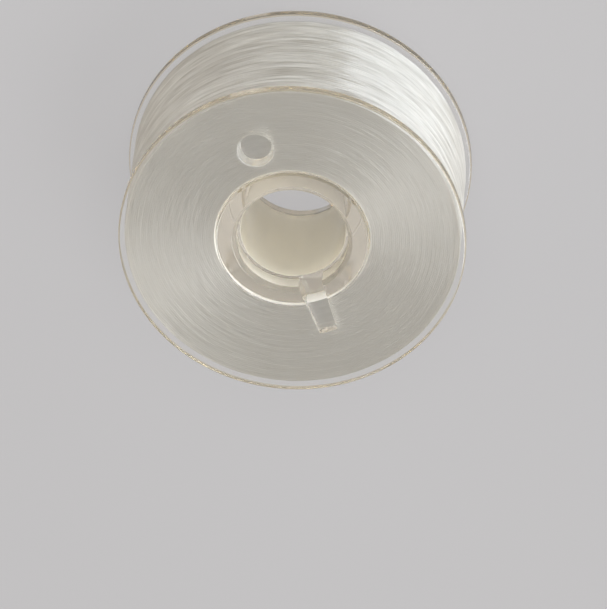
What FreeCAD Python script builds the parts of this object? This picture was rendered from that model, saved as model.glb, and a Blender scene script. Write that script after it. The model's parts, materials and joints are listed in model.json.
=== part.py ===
import FreeCAD, Part
import os

# A clear plastic sewing machine bobbin, wound nearly full of thread.
# It stands on one flange, with its axis along +Z and its origin at the centre of that
# flange's outer face. Sizes are in millimetres.

# Spool: two flat flanges on a hollow hub, moulded in one piece
flange_diameter = 20.5
flange_thickness = 0.6
rim_chamfer = 0.1
overall_height = 9.6
hub_diameter = 8.9
hub_end_recess = 0.1

# Bore: it runs on the spindle between two shoulders, and each mouth is a step wider
bore_diameter = 6.2
shoulder_depth = 1.3
mouth_step = 0.2
mouth_chamfer = 0.25

# Thread hole through each flange, a land's width outside the hub, on the -Y side of the upper end
thread_hole_diameter = 2.1
thread_hole_land = 0.95

# Drive slot in each end, opposite its thread hole: open to the bore, it narrows outwards through
# the flange, runs on past the hub's wall, and notches that wall down to the shoulder
slot_bore_width = 1.5
slot_outer_width = 1.1
slot_run_past_hub = 2.05

# Winding: each turn of its outer layer stands as a ridge
winding_rim_gap = 0.3
turn_pitch = 0.44
turn_relief = 0.08

# How far a cutting shape stands clear of the face that it cuts
cut_overrun = 1.0

flange_radius = flange_diameter / 2
hub_radius = hub_diameter / 2
bore_radius = bore_diameter / 2
winding_radius = flange_radius - winding_rim_gap
lower_seat = flange_thickness
upper_seat = overall_height - flange_thickness
ORIGIN = FreeCAD.Vector(0, 0, 0)
AXIS = FreeCAD.Vector(0, 0, 1)


def revolved(outline):
    """The solid that a closed half section, a list of radii and heights, sweeps about the axis."""
    points = [FreeCAD.Vector(radius, 0, height) for radius, height in outline]
    section = Part.Face(Part.makePolygon(points + points[:1]))
    return section.revolve(ORIGIN, AXIS, 360)


def flange_rim(bottom):
    """A flange's rim in half section, from its lower face to its upper one."""
    top = bottom + flange_thickness
    return [
        (flange_radius - rim_chamfer, bottom),
        (flange_radius, bottom + rim_chamfer),
        (flange_radius, top - rim_chamfer),
        (flange_radius - rim_chamfer, top),
    ]


def hub_end(face, inward):
    """One end of the hub in half section, from the flange's face to the shoulder in the bore."""
    mouth_radius = bore_radius + mouth_step
    return [
        (hub_radius, face),
        (hub_radius, face + inward * hub_end_recess),
        (mouth_radius + mouth_chamfer, face + inward * hub_end_recess),
        (mouth_radius, face + inward * (hub_end_recess + mouth_chamfer)),
        (mouth_radius, face + inward * shoulder_depth),
        (bore_radius, face + inward * shoulder_depth),
    ]


def spool_blank():
    """The spool before its ends are pierced: flanges, hub and stepped bore."""
    hub_wall = [(hub_radius, lower_seat), (hub_radius, upper_seat)]
    upper_end = hub_end(overall_height, -1)
    lower_end = hub_end(0, 1)
    outside = flange_rim(0) + hub_wall + flange_rim(upper_seat)
    return revolved(outside + upper_end + lower_end[::-1])


def thread_hole_pin():
    """The pin that opens the upper flange's thread hole."""
    hole_radius = thread_hole_diameter / 2
    hole_distance = hub_radius + thread_hole_land + hole_radius
    start = FreeCAD.Vector(0, -hole_distance, upper_seat - cut_overrun)
    return Part.makeCylinder(hole_radius, flange_thickness + 2 * cut_overrun, start, AXIS)


def drive_slot_wedge():
    """The wedge that cuts the upper end's drive slot."""
    reach = hub_radius + slot_run_past_hub
    bottom = overall_height - shoulder_depth
    half_outline = [
        (slot_bore_width / 2, 0),
        (slot_bore_width / 2, bore_radius),
        (slot_outer_width / 2, reach),
    ]
    right = [FreeCAD.Vector(x, y, bottom) for x, y in half_outline]
    left = [FreeCAD.Vector(-x, y, bottom) for x, y in reversed(half_outline)]
    floor = Part.Face(Part.makePolygon(right + left + right[:1]))
    return floor.extrude(AXIS * (shoulder_depth + cut_overrun))


def turned_over(shape):
    """The same shape at the lower end: half a turn about the X axis at half the height."""
    turned = shape.copy()
    turned.rotate(AXIS * (overall_height / 2), FreeCAD.Vector(1, 0, 0), 180)
    return turned


def bobbin_spool():
    """The clear spool, with a thread hole and a drive slot in each end."""
    upper_cuts = [thread_hole_pin(), drive_slot_wedge()]
    lower_cuts = [turned_over(shape) for shape in upper_cuts]
    return spool_blank().cut(upper_cuts + lower_cuts)


def thread_winding():
    """The thread, wound on the hub and seated against both flanges, its turns in relief."""
    winding_width = upper_seat - lower_seat
    turns = max(1, round(winding_width / turn_pitch))
    pitch = winding_width / turns
    valley_radius = winding_radius - turn_relief
    outline = [(hub_radius, upper_seat), (hub_radius, lower_seat), (valley_radius, lower_seat)]
    for turn in range(turns):
        start = lower_seat + turn * pitch
        outline.append((winding_radius, start + pitch / 2))
        outline.append((valley_radius, start + pitch))
    return revolved(outline)


os.makedirs("parts", exist_ok=True)
bobbin_spool().exportStep("parts/bobbin_spool.step")
thread_winding().exportStep("parts/thread_winding.step")
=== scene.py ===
import json
import math
import bmesh
import bpy
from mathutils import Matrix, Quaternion, Vector, noise


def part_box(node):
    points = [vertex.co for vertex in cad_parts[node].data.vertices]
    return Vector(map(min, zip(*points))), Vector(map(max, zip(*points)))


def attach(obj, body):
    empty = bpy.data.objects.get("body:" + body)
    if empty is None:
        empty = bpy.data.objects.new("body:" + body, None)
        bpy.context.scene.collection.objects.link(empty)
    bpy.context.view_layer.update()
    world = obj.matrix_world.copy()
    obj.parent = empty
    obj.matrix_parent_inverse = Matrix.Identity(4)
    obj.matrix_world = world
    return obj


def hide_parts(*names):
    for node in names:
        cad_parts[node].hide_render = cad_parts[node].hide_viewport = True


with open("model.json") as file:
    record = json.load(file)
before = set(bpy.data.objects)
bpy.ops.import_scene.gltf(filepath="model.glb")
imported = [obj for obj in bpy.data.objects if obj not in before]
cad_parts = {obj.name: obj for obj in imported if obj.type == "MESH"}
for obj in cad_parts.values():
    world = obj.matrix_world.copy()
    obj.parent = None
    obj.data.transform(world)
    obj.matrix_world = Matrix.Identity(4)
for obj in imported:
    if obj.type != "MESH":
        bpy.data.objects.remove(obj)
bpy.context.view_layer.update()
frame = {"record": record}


# Spool
# Two thin flanges on a hollow hub, injection moulded in one piece of clear plastic that looks
# amber where it is seen edge on. Each end has a thread hole and a tapered slot for a winder's key.
spool_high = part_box("bobbin_spool")[1]
winding_low, winding_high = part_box("thread_winding")
bore_mount = next(m for m in frame["record"]["mounts"] if m["name"] == "spindle_bore")
flange_radius = spool_high.x
spool_height = spool_high.z
half_height = spool_height / 2
lower_seat = winding_low.z
upper_seat = winding_high.z
hub_radius = 0.00445
end_recess = 0.0001
bore_radius = bore_mount["dims"]["r_mm"] / 1000
bore_length = bore_mount["dims"]["length_mm"] / 1000
shoulder_depth = (spool_height - bore_length) / 2
mouth_step = 0.0002
mouth_radius = bore_radius + mouth_step
mouth_chamfer = 0.00025
rim_round = 0.00014
hub_fillet = 0.00012
edge_round = 0.00004
spool_facets = 224
weld = 1e-7

spool_mesh = bmesh.new()


def corners_at(points, rounding):
    """Corners of the spool's half section at these radii and heights, each with its rounding."""
    return [(spool_mesh.verts.new((radius, 0, z)), rounding) for radius, z in points]


def hub_end(face, inward):
    """The corners of one end of the hub, from the flange's face to the shoulder in the bore."""
    return corners_at([
        (hub_radius, face),
        (hub_radius, face + inward * end_recess),
        (mouth_radius + mouth_chamfer, face + inward * end_recess),
        (mouth_radius, face + inward * (end_recess + mouth_chamfer)),
        (mouth_radius, face + inward * shoulder_depth),
        (bore_radius, face + inward * shoulder_depth),
    ], edge_round)


section = hub_end(0, 1)[::-1]
section += corners_at([(flange_radius, 0), (flange_radius, lower_seat)], rim_round)
section += corners_at([(hub_radius, lower_seat), (hub_radius, upper_seat)], hub_fillet)
section += corners_at([(flange_radius, upper_seat), (flange_radius, spool_height)], rim_round)
section += hub_end(spool_height, -1)
spool_mesh.faces.new([corner for corner, rounding in section])
for corner, rounding in section:
    bmesh.ops.bevel(spool_mesh, geom=[corner], offset=rounding, offset_type="OFFSET",
                    affect="VERTICES", segments=4, profile=0.5, material=-1)
section_edges = spool_mesh.edges[:]
bmesh.ops.delete(spool_mesh, geom=spool_mesh.faces[:], context="FACES_ONLY")


def turn_on_axis(mesh_data, edges, facets, merge_distance):
    """Spin a section a full turn about the axis into a closed skin that faces outwards."""
    bmesh.ops.spin(mesh_data, geom=edges, cent=(0, 0, 0), axis=(0, 0, 1),
                   angle=math.tau, steps=facets, use_merge=True)
    bmesh.ops.remove_doubles(mesh_data, verts=mesh_data.verts[:], dist=merge_distance)
    bmesh.ops.recalc_face_normals(mesh_data, faces=mesh_data.faces[:])


def finished(name, mesh_data):
    """Turn a bmesh into a linked object at the origin."""
    mesh = bpy.data.meshes.new(name)
    mesh_data.to_mesh(mesh)
    mesh_data.free()
    made = bpy.data.objects.new(name, mesh)
    bpy.context.scene.collection.objects.link(made)
    return made


turn_on_axis(spool_mesh, section_edges, spool_facets, weld)
spool = finished("clear_spool", spool_mesh)

# The core pins of the mould, which leave a thread hole with a rounded lip in each flange
hole_radius = 0.00105
hole_distance = 0.00645
hole_facets = 64
lip_round = 0.00014
lip_angles = (76, 57, 38, 19, 0)
draft = 0.00016
clear_of_face = 0.0001


def core_pin(name, side, outer_face, inner_face):
    """The cutter of one flange's thread hole: a rounded lip at the outer face, then a taper."""
    pin_mesh = bmesh.new()
    outward = math.copysign(1, outer_face - inner_face)
    top = outer_face + outward * clear_of_face
    bottom = inner_face - outward * clear_of_face
    pin_section = [(0, top), (hole_radius + lip_round, top)]
    for angle in lip_angles:
        across = lip_round * (1 - math.cos(math.radians(angle)))
        depth = lip_round * (1 - math.sin(math.radians(angle)))
        pin_section.append((hole_radius + across, outer_face - outward * depth))
    narrow = hole_radius - draft
    pin_section += [(narrow, inner_face), (narrow, bottom), (0, bottom)]
    pin_line = [pin_mesh.verts.new((radius, 0, z)) for radius, z in pin_section]
    pin_edges = [pin_mesh.edges.new(pair) for pair in zip(pin_line, pin_line[1:])]
    turn_on_axis(pin_mesh, pin_edges, hole_facets, weld)
    bmesh.ops.translate(pin_mesh, verts=pin_mesh.verts[:], vec=(0, side * hole_distance, 0))
    return finished(name, pin_mesh)


# The keys of the mould, which leave a drive slot in each end, opposite its thread hole
slot_bore_half = 0.00075
slot_outer_half = 0.00055
slot_reach = 0.0065
slot_overcut = 0.00002
slot_depth = shoulder_depth + slot_overcut
edge_break = 0.00007


def slot_key(name, side, face_height, inward):
    """The cutter of one drive slot: straight walls, flared where they meet the flange's face."""
    key_mesh = bmesh.new()
    rings = []
    flare_growth = edge_break + clear_of_face
    levels = [(slot_depth, 0), (edge_break, 0), (-clear_of_face, flare_growth)]
    for depth, growth in levels:
        z = face_height + inward * depth
        half = [
            (slot_bore_half + growth, 0),
            (slot_bore_half + growth, side * bore_radius),
            (slot_outer_half + growth, side * (slot_reach + growth)),
        ]
        outline = half + [(-x, y) for x, y in reversed(half)]
        corners = [key_mesh.verts.new((x, y, z)) for x, y in outline]
        ring = [key_mesh.edges.new(pair) for pair in zip(corners, corners[1:] + corners[:1])]
        if rings:
            bmesh.ops.bridge_loops(key_mesh, edges=rings[-1] + ring)
        rings.append(ring)
    bmesh.ops.contextual_create(key_mesh, geom=rings[0])
    bmesh.ops.contextual_create(key_mesh, geom=rings[-1])
    bmesh.ops.recalc_face_normals(key_mesh, faces=key_mesh.faces[:])
    return finished(name, key_mesh)


cutters = [
    core_pin("lower_pin", 1, 0, lower_seat),
    core_pin("upper_pin", -1, spool_height, upper_seat),
    slot_key("lower_key", -1, 0, 1),
    slot_key("upper_key", 1, spool_height, -1),
]
for cutter in cutters:
    cut = spool.modifiers.new(cutter.name, "BOOLEAN")
    cut.operation = "DIFFERENCE"
    cut.solver = "EXACT"
    cut.object = cutter
depsgraph = bpy.context.evaluated_depsgraph_get()
pierced_mesh = bpy.data.meshes.new_from_object(spool.evaluated_get(depsgraph))
spool.modifiers.clear()
spool.data = pierced_mesh
for cutter in cutters:
    bpy.data.objects.remove(cutter)
sharp_edge = math.radians(30)
pierced_mesh.shade_smooth()
pierced_mesh.set_sharp_from_angle(angle=sharp_edge)
weighted = spool.modifiers.new("face_weighted_normals", "WEIGHTED_NORMAL")
weighted.keep_sharp = True

# How the mould leaves each kind of surface: the share that is clear, and the tint. The bore's wall
# is drawn off a matt core, and the rims show the amber of plastic that is seen edge on.
mould_finishes = {
    "polished": (0.965, (0.985, 0.983, 0.978)),
    "hole_lip": (0.76, (0.97, 0.955, 0.92)),
    # The bore wall is matt, and its beige tint is painted light: warm light through the thread
    "bore_wall": (0.36, (0.98, 0.935, 0.815)),
    "rim": (0.86, (0.76, 0.67, 0.52)),
    "hub_end": (0.84, (0.985, 0.965, 0.94)),
}
finish_names = list(mould_finishes)
flat_normal = 0.9
wall_slack = 0.00002


def finish_of(face):
    """Which of the mould's finishes a face of the spool has."""
    x, y, z = face.center
    from_axis = math.hypot(x, y)
    from_hole = math.hypot(x, y - math.copysign(hole_distance, half_height - z))
    if abs(face.normal.z) < flat_normal:
        if from_axis > flange_radius - rim_round:
            return "rim"
        if from_hole < hole_radius + lip_round:
            return "hole_lip"
        if from_axis < bore_radius + wall_slack:
            return "bore_wall"
    if from_axis < hub_radius and abs(z - half_height) > bore_length / 2 - edge_round:
        return "hub_end"
    return "polished"


mould_finish = pierced_mesh.attributes.new("mould_finish", "FLOAT", "FACE")
for face, mark in zip(pierced_mesh.polygons, mould_finish.data):
    mark.value = (finish_names.index(finish_of(face)) + 0.5) / len(finish_names)


def feed(tree, node, feeds):
    """Give a node's inputs their values, or link them to the outputs of other nodes."""
    for socket, source in feeds.items():
        if isinstance(source, bpy.types.NodeSocket):
            tree.links.new(source, node.inputs[socket])
        else:
            node.inputs[socket].default_value = source
    return node


def add_node(tree, kind, feeds, **settings):
    """Add a node of a kind to a tree, set it up and feed it."""
    node = tree.nodes.new("ShaderNode" + kind)
    for setting, choice in settings.items():
        setattr(node, setting, choice)
    return feed(tree, node, feeds)


def maths(tree, operation, *terms):
    """The output of a sum, product or other operation on values or outputs."""
    return add_node(tree, "Math", dict(enumerate(terms)), operation=operation).outputs["Value"]


def map_range(tree, source, start, end, first, last):
    """The output that goes from first to last while the source goes from start to end."""
    return add_node(tree, "MapRange", {
        "Value": source, "From Min": start, "From Max": end, "To Min": first, "To Max": last,
    }).outputs["Result"]


def mix_shaders(tree, share, first, second):
    """The output of two shaders in one, of which the second has the share."""
    return add_node(tree, "MixShader", {"Fac": share, 1: first, 2: second}).outputs["Shader"]


plastic = bpy.data.materials.new("clear_amber_plastic")
plastic.use_nodes = True
tree = plastic.node_tree
place = add_node(tree, "TexCoord", {}).outputs["Object"]
haze = add_node(tree, "TexNoise", {"Vector": place, "Scale": 900, "Detail": 4}).outputs["Fac"]
ripple = add_node(tree, "Bump", {"Strength": 0.05, "Distance": 0.0001, "Height": haze})

# The flanges are polished, and the hub's wall between them is a little matt
polished_rough, hazed_rough, matt_rough = 0.02, 0.09, 0.12
haze_from, haze_to = 0.35, 0.7
matt_from, matt_to = 0.0033, 0.0036
height = add_node(tree, "SeparateXYZ", {"Vector": place}).outputs["Z"]
end_distance = maths(tree, "ABSOLUTE", maths(tree, "SUBTRACT", height, half_height))
polish = map_range(tree, haze, haze_from, haze_to, polished_rough, hazed_rough)
matt_wall = map_range(tree, end_distance, matt_from, matt_to, matt_rough, 0)

surface = add_node(tree, "Attribute", {}, attribute_name="mould_finish").outputs["Fac"]
clearness = add_node(tree, "ValToRGB", {"Fac": surface})
tint = add_node(tree, "ValToRGB", {"Fac": surface})
clearness.color_ramp.interpolation = "CONSTANT"
tint.color_ramp.interpolation = "CONSTANT"
for number, (clear_share, finish_tint) in enumerate(mould_finishes.values()):
    for ramp, colour in ((clearness, (clear_share,) * 3), (tint, finish_tint)):
        stops = ramp.color_ramp.elements
        stop = stops[number] if number < len(stops) else stops.new(1)
        stop.position = number / len(mould_finishes)
        stop.color = (*colour, 1)

# The shader holds the polished finish, and each surface's own finish is linked over it
polished_share, polished_tint = mould_finishes["polished"]
plastic_shader = feed(tree, tree.nodes["Principled BSDF"], {
    "IOR": 1.5,
    "Base Color": (*polished_tint, 1),
    "Transmission Weight": polished_share,
    "Roughness": maths(tree, "MAXIMUM", polish, matt_wall),
    "Normal": ripple.outputs["Normal"],
})
feed(tree, plastic_shader, {
    "Base Color": tint.outputs["Color"],
    "Transmission Weight": clearness.outputs["Color"],
})

# Lamps shine straight through the plastic, and what is seen through it is tinted by its depth
light_path = add_node(tree, "LightPath", {}).outputs
lamp_way = add_node(tree, "BsdfTransparent", {"Color": (0.93, 0.925, 0.915, 1)}).outputs["BSDF"]
amber = add_node(tree, "VolumeAbsorption", {"Color": (0.9, 0.7, 0.2, 1), "Density": 36})
feed(tree, tree.nodes["Material Output"], {
    "Surface": mix_shaders(tree, light_path["Is Shadow Ray"], plastic_shader.outputs["BSDF"], lamp_way),
    "Volume": amber.outputs["Volume"],
})
pierced_mesh.materials.clear()
pierced_mesh.materials.append(plastic)
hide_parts("bobbin_spool")
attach(spool, "root")


# Winding
# Smooth white filament thread, wound on the hub under tension by a bobbin winder, so that its
# turns lie side by side in layers. The outer layer and the two ends show their turns in relief.
winding_radius = winding_high.x
winding_facets = 184
play = 0.00003
side_pitch = 0.00022
side_bulge = 0.00007
end_pitch = 0.00012
end_bulge = 0.000017
points_a_turn = 4
mean_fullness = 0.65
fullness_swing = 0.35
turn_stride = 0.9
row_stride = 1000
fine_weld = 1e-8


def turns_between(start, end, outward, pitch, bulge):
    """Section points from start to end, with a bulge for each turn of thread that fits between."""
    span = Vector(end) - Vector(start)
    count = round(span.length / pitch)
    points = []
    for step in range(count * points_a_turn):
        turn = step // points_a_turn
        around_turn = step % points_a_turn / points_a_turn
        unevenness = noise.noise(Vector((turn * turn_stride, span.length * row_stride, 0.5)))
        fullness = mean_fullness + fullness_swing * unevenness
        rise = math.sin(math.pi * around_turn) * bulge * fullness
        points.append(Vector(start) + span * step / (count * points_a_turn) + Vector(outward) * rise)
    return points


low_end = lower_seat + play + end_bulge
high_end = upper_seat - play - end_bulge
inner = hub_radius + hub_fillet + play
outer = winding_radius - side_bulge
inner_low, outer_low = (inner, 0, low_end), (outer, 0, low_end)
inner_high, outer_high = (inner, 0, high_end), (outer, 0, high_end)
winding_section = turns_between(inner_low, outer_low, (0, 0, -1), end_pitch, end_bulge)
winding_section += turns_between(outer_low, outer_high, (1, 0, 0), side_pitch, side_bulge)
winding_section += turns_between(outer_high, inner_high, (0, 0, 1), end_pitch, end_bulge)
winding_section.append(Vector(inner_high))
winding_mesh = bmesh.new()
outline = [winding_mesh.verts.new(point) for point in winding_section]
outline_edges = [winding_mesh.edges.new(pair) for pair in zip(outline, outline[1:] + outline[:1])]
turn_on_axis(winding_mesh, outline_edges, winding_facets, fine_weld)

# No turn lies quite true: each rises, sinks and wanders a little along its way round
sink_swings, sink_rows = 7, 5000
slack_swings, slack_rows, slack_start = 3, 900, 50
side_sink = 0.000021
side_wander = 0.000025
end_sink = 0.000015
end_wander = 0.00005
for vert in winding_mesh.verts:
    x, y, z = vert.co
    radius = math.hypot(x, y)
    around = Vector((x, y, 0)) / radius
    row = Vector((0, 0, z + radius))
    unevenness = noise.noise(around * sink_swings + row * sink_rows)
    slack = noise.noise(around * slack_swings + row * slack_rows + Vector((0, 0, slack_start)))
    if radius > outer - side_bulge / 2:
        vert.co += around * (unevenness - 1) * side_sink
        vert.co.z += slack * side_wander
    elif radius > inner + end_pitch / 2:
        inward = 1 if z < half_height else -1
        vert.co.z += inward * (1 + unevenness) * end_sink
        vert.co += around * slack * end_wander
for face in winding_mesh.faces:
    face.smooth = True
winding = finished("wound_thread", winding_mesh)

thread = bpy.data.materials.new("white_filament_thread")
thread.use_nodes = True
tree = thread.node_tree
place = add_node(tree, "TexCoord", {}).outputs["Object"]
split = add_node(tree, "SeparateXYZ", {"Vector": place}).outputs
flat = add_node(tree, "CombineXYZ", {"X": split["X"], "Y": split["Y"]}).outputs["Vector"]
from_axis = add_node(tree, "VectorMath", {0: flat}, operation="LENGTH").outputs["Value"]
bearing = add_node(tree, "VectorMath", {0: flat}, operation="NORMALIZE").outputs["Vector"]
bearing_split = add_node(tree, "SeparateXYZ", {"Vector": bearing}).outputs
round_axis = add_node(tree, "VectorMath", {0: (0, 0, 1), 1: flat}, operation="CROSS_PRODUCT")
way_round = round_axis.outputs["Vector"]
lay = add_node(tree, "VectorMath", {0: way_round}, operation="NORMALIZE").outputs["Vector"]

# Streaks run along the thread: long around the axis, and as fine as a turn across it
streak_turns = 3.5
streak_layers = 8000
streak_place = add_node(tree, "CombineXYZ", {
    "X": maths(tree, "MULTIPLY", bearing_split["X"], streak_turns),
    "Y": maths(tree, "MULTIPLY", bearing_split["Y"], streak_turns),
    "Z": maths(tree, "MULTIPLY", maths(tree, "ADD", from_axis, split["Z"]), streak_layers),
}).outputs["Vector"]
streaks = add_node(tree, "TexNoise", {"Vector": streak_place, "Scale": 1, "Detail": 3}).outputs["Fac"]
tone = add_node(tree, "ValToRGB", {"Fac": streaks})
dark_stop, light_stop = tone.color_ramp.elements
dark_stop.position = 0.3
dark_stop.color = (0.315, 0.288, 0.236, 1)
light_stop.position = 0.7
light_stop.color = (0.61, 0.585, 0.53, 1)

# The ends get painted shade from the flanges and a calmer sheen; the first layer gets painted light
end_from = upper_seat - half_height - 0.00025
end_to = upper_seat - half_height - 0.00015
end_shade, end_calm = 0.92, 0.3
first_from, first_to = inner + 0.00001, inner + 0.00004
end_distance = maths(tree, "ABSOLUTE", maths(tree, "SUBTRACT", split["Z"], half_height))
# Painted shade: the ends are painted a darker grey, for shade between turns and under the flanges
tone_and_end_shade = add_node(tree, "Mix", {
    "Factor": map_range(tree, end_distance, end_from, end_to, 0, end_shade),
    "A": tone.outputs["Color"],
    "B": (0.365, 0.349, 0.318, 1),
}, data_type="RGBA")
# Painted light: the first layer on the hub is painted near white, for light coming down the bore
tone_with_painted_light = add_node(tree, "Mix", {
    "Factor": map_range(tree, from_axis, first_from, first_to, 1, 0),
    "A": tone_and_end_shade.outputs["Result"],
    "B": (0.95, 0.93, 0.88, 1),
}, data_type="RGBA")

# Each bit of filament leans a little along its lay, which breaks up the sheen
lean_apart = (31, 17, 5)
lean_most = 0.36
twist = add_node(tree, "Bump", {"Strength": 0.35, "Distance": 0.00008, "Height": streaks})
lean_place = add_node(tree, "VectorMath", {0: streak_place, 1: lean_apart}, operation="ADD")
lean = add_node(tree, "TexNoise", {"Vector": lean_place.outputs["Vector"], "Scale": 1, "Detail": 1})
any_lean = map_range(tree, lean.outputs["Fac"], 0, 1, -lean_most, lean_most)
calm = map_range(tree, end_distance, end_from, end_to, 1, end_calm)
lean_along = add_node(tree, "VectorMath", {
    "Vector": lay,
    "Scale": maths(tree, "MULTIPLY", any_lean, calm),
}, operation="SCALE")
leaning = add_node(tree, "VectorMath", {
    0: twist.outputs["Normal"],
    1: lean_along.outputs["Vector"],
}, operation="ADD")
leaning_normal = add_node(tree, "VectorMath", {0: leaning.outputs["Vector"]}, operation="NORMALIZE")
feed(tree, tree.nodes["Principled BSDF"], {
    "Base Color": tone_with_painted_light.outputs["Result"],
    "Roughness": map_range(tree, streaks, 0, 1, 0.38, 0.45),
    "Normal": leaning_normal.outputs["Vector"],
    "Tangent": lay,
    "Subsurface Weight": 0.3,
    "Subsurface Radius": (1.0, 0.9, 0.75),
    "Subsurface Scale": 0.001,
    "IOR": 2.3,
    "Specular IOR Level": 1.0,
    "Anisotropic": 1.0,
    "Anisotropic Rotation": 0.25,
    "Sheen Weight": 0.1,
})
winding.data.materials.append(thread)
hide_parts("thread_winding")
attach(winding, "root")


# Floor
# A plain pale table top, just under the flange that the bobbin stands on. It looks evenly pale,
# also through the plastic and in its reflections, and keeps a soft shadow.
floor_side = 0.8
floor_drop = 0.00002
even_share = 0.85
floor_mesh = bmesh.new()
bmesh.ops.create_grid(floor_mesh, x_segments=1, y_segments=1, size=floor_side / 2)
bmesh.ops.translate(floor_mesh, verts=floor_mesh.verts[:], vec=(0, 0, -floor_drop))
floor = finished("floor", floor_mesh)
paper = bpy.data.materials.new("pale_grey_paper")
paper.use_nodes = True
tree = paper.node_tree
paper_shader = feed(tree, tree.nodes["Principled BSDF"], {
    "Base Color": (0.70, 0.69, 0.695, 1),
    "Roughness": 0.9,
    "Specular IOR Level": 0.1,
})
light_path = add_node(tree, "LightPath", {}).outputs
in_view = maths(tree, "MULTIPLY", light_path["Is Camera Ray"], even_share)
by_plastic = maths(tree, "MAXIMUM", light_path["Is Transmission Ray"], light_path["Is Glossy Ray"])
even_ground = add_node(tree, "Emission", {"Color": (0.515, 0.505, 0.51, 1)}).outputs["Emission"]
ground_share = maths(tree, "MAXIMUM", in_view, by_plastic)
feed(tree, tree.nodes["Material Output"], {
    "Surface": mix_shaders(tree, ground_share, paper_shader.outputs["BSDF"], even_ground),
})
floor.data.materials.append(paper)


# Light and camera
# Soft studio light: a pale grey room, a broad lamp low on the picture's right, a higher one beyond
# it, and weak lamps on the left and in front. The camera looks down at the flange as the
# photograph does.
room = bpy.data.worlds.new("pale_room")
room.use_nodes = True
tree = room.node_tree
room_wall = feed(tree, tree.nodes["Background"], {"Color": (0.2, 0.2, 0.2, 1)}).outputs["Background"]
wall_in_depth = add_node(tree, "Background", {"Color": (0.15, 0.15, 0.15, 1)}).outputs["Background"]
wall_in_sight = add_node(tree, "Background", {"Color": (0.52, 0.515, 0.51, 1)}).outputs["Background"]

# A pale wall stands in sight through one thickness of plastic, and the thread gets no light from it
light_path = add_node(tree, "LightPath", {}).outputs
one_pane = maths(tree, "LESS_THAN", light_path["Transmission Depth"], 2.5)
no_scatter = maths(tree, "LESS_THAN", light_path["Diffuse Depth"], 0.5)
clear_sight = maths(tree, "MULTIPLY", one_pane, no_scatter)
sight_through = maths(tree, "MULTIPLY", clear_sight, light_path["Is Transmission Ray"])
wall = mix_shaders(tree, light_path["Is Transmission Ray"], room_wall, wall_in_depth)
feed(tree, tree.nodes["World Output"], {
    "Surface": mix_shaders(tree, sight_through, wall, wall_in_sight),
})
bpy.context.scene.world = room

face_centre = Vector((0, 0, spool_height))
view_azimuth = math.radians(-24.3)
view_elevation = math.radians(58.8)
view_roll = math.radians(-174.2)
view_distance = 0.5
view_lens_mm = 502.7
aim_right = 0.000675
aim_up = -0.00369
back = Vector((
    math.sin(view_azimuth) * math.cos(view_elevation),
    -math.cos(view_azimuth) * math.cos(view_elevation),
    math.sin(view_elevation),
))
turned = (-back).to_track_quat("-Z", "Y") @ Quaternion((0, 0, 1), view_roll)
picture_right = turned @ Vector((1, 0, 0))
picture_up = turned @ Vector((0, 1, 0))
lens = bpy.data.cameras.new("view")
lens.lens = view_lens_mm
camera = bpy.data.objects.new("view", lens)
camera.rotation_mode = "QUATERNION"
camera.rotation_quaternion = turned
camera.location = face_centre + picture_right * aim_right + picture_up * aim_up + back * view_distance
bpy.context.scene.collection.objects.link(camera)
bpy.context.scene.camera = camera


def lamp(name, towards, distance, width, height, power, colour, mirrored):
    """An upright oblong lamp that shines on the bobbin from a direction."""
    light = bpy.data.lights.new(name, "AREA")
    light.shape = "RECTANGLE"
    light.size = width
    light.size_y = height
    light.energy = power
    light.color = colour
    made = bpy.data.objects.new(name, light)
    heading = towards.normalized()
    made.location = Vector((0, 0, half_height)) + heading * distance
    made.rotation_mode = "QUATERNION"
    made.rotation_quaternion = heading.to_track_quat("Z", "Y")
    made.visible_camera = False
    made.visible_glossy = mirrored
    made.visible_transmission = False
    bpy.context.scene.collection.objects.link(made)


level_right = Vector((picture_right.x, picture_right.y, 0)).normalized()
level_front = Vector((back.x, back.y, 0)).normalized()
up = Vector((0, 0, 1))
day = (1, 1, 1)
warm = (1, 0.94, 0.84)
cool = (0.9, 0.955, 1)
window_way = level_right + level_front * 0.78 + up * 0.12
back_window_way = level_right - level_front * 0.55 + up * 1.5
left_fill_way = -level_right + level_front * 0.3 + up * 0.2
lamp("window", window_way, distance=0.28, width=0.34, height=0.1,
     power=0.88, colour=cool, mirrored=True)
lamp("back_window", back_window_way, distance=0.3, width=0.2, height=0.15,
     power=0.5, colour=day, mirrored=True)
lamp("left_fill", left_fill_way, distance=0.3, width=0.3, height=0.12,
     power=0.5, colour=warm, mirrored=False)
lamp("front", back, distance=0.4, width=0.25, height=0.25,
     power=0.66, colour=day, mirrored=False)

# Light goes round inside clear plastic many times before it finds a way out
light_paths = bpy.context.scene.cycles
light_paths.max_bounces = 40
light_paths.diffuse_bounces = 8
light_paths.glossy_bounces = 40
light_paths.transmission_bounces = 24

bpy.context.scene.view_settings.view_transform = "Standard"
